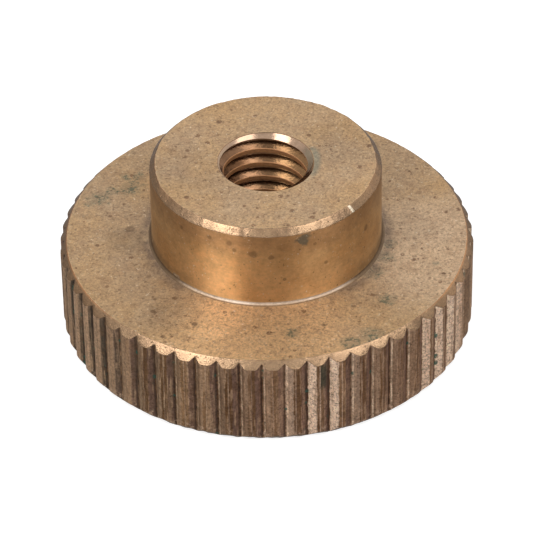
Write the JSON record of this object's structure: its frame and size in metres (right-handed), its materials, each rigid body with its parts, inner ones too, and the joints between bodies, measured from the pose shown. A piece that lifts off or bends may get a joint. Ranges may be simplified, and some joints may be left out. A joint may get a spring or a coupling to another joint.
{
  "type": "knurled thumb nut",
  "caption": "One-piece brass thumb nut: a straight-knurled disc for turning by hand, a plain round hub on one side, and a threaded hole right through.",
  "frame": {"origin": "centre of the disc's flat underside, on the bore's axis", "axes": "+Z along the bore's axis, from the disc's underside towards the hub's end face; X and Y are equivalent"},
  "size_m": [0.0244, 0.0244, 0.011],
  "materials": {
    "aged_brass": "old turned brass, dulled tan brown on the flats, satin on the hub, darker and spotted with verdigris in the knurl"
  },
  "bodies": {
    "root": {"thumb_nut": "aged_brass"}
  },
  "joints": []
}
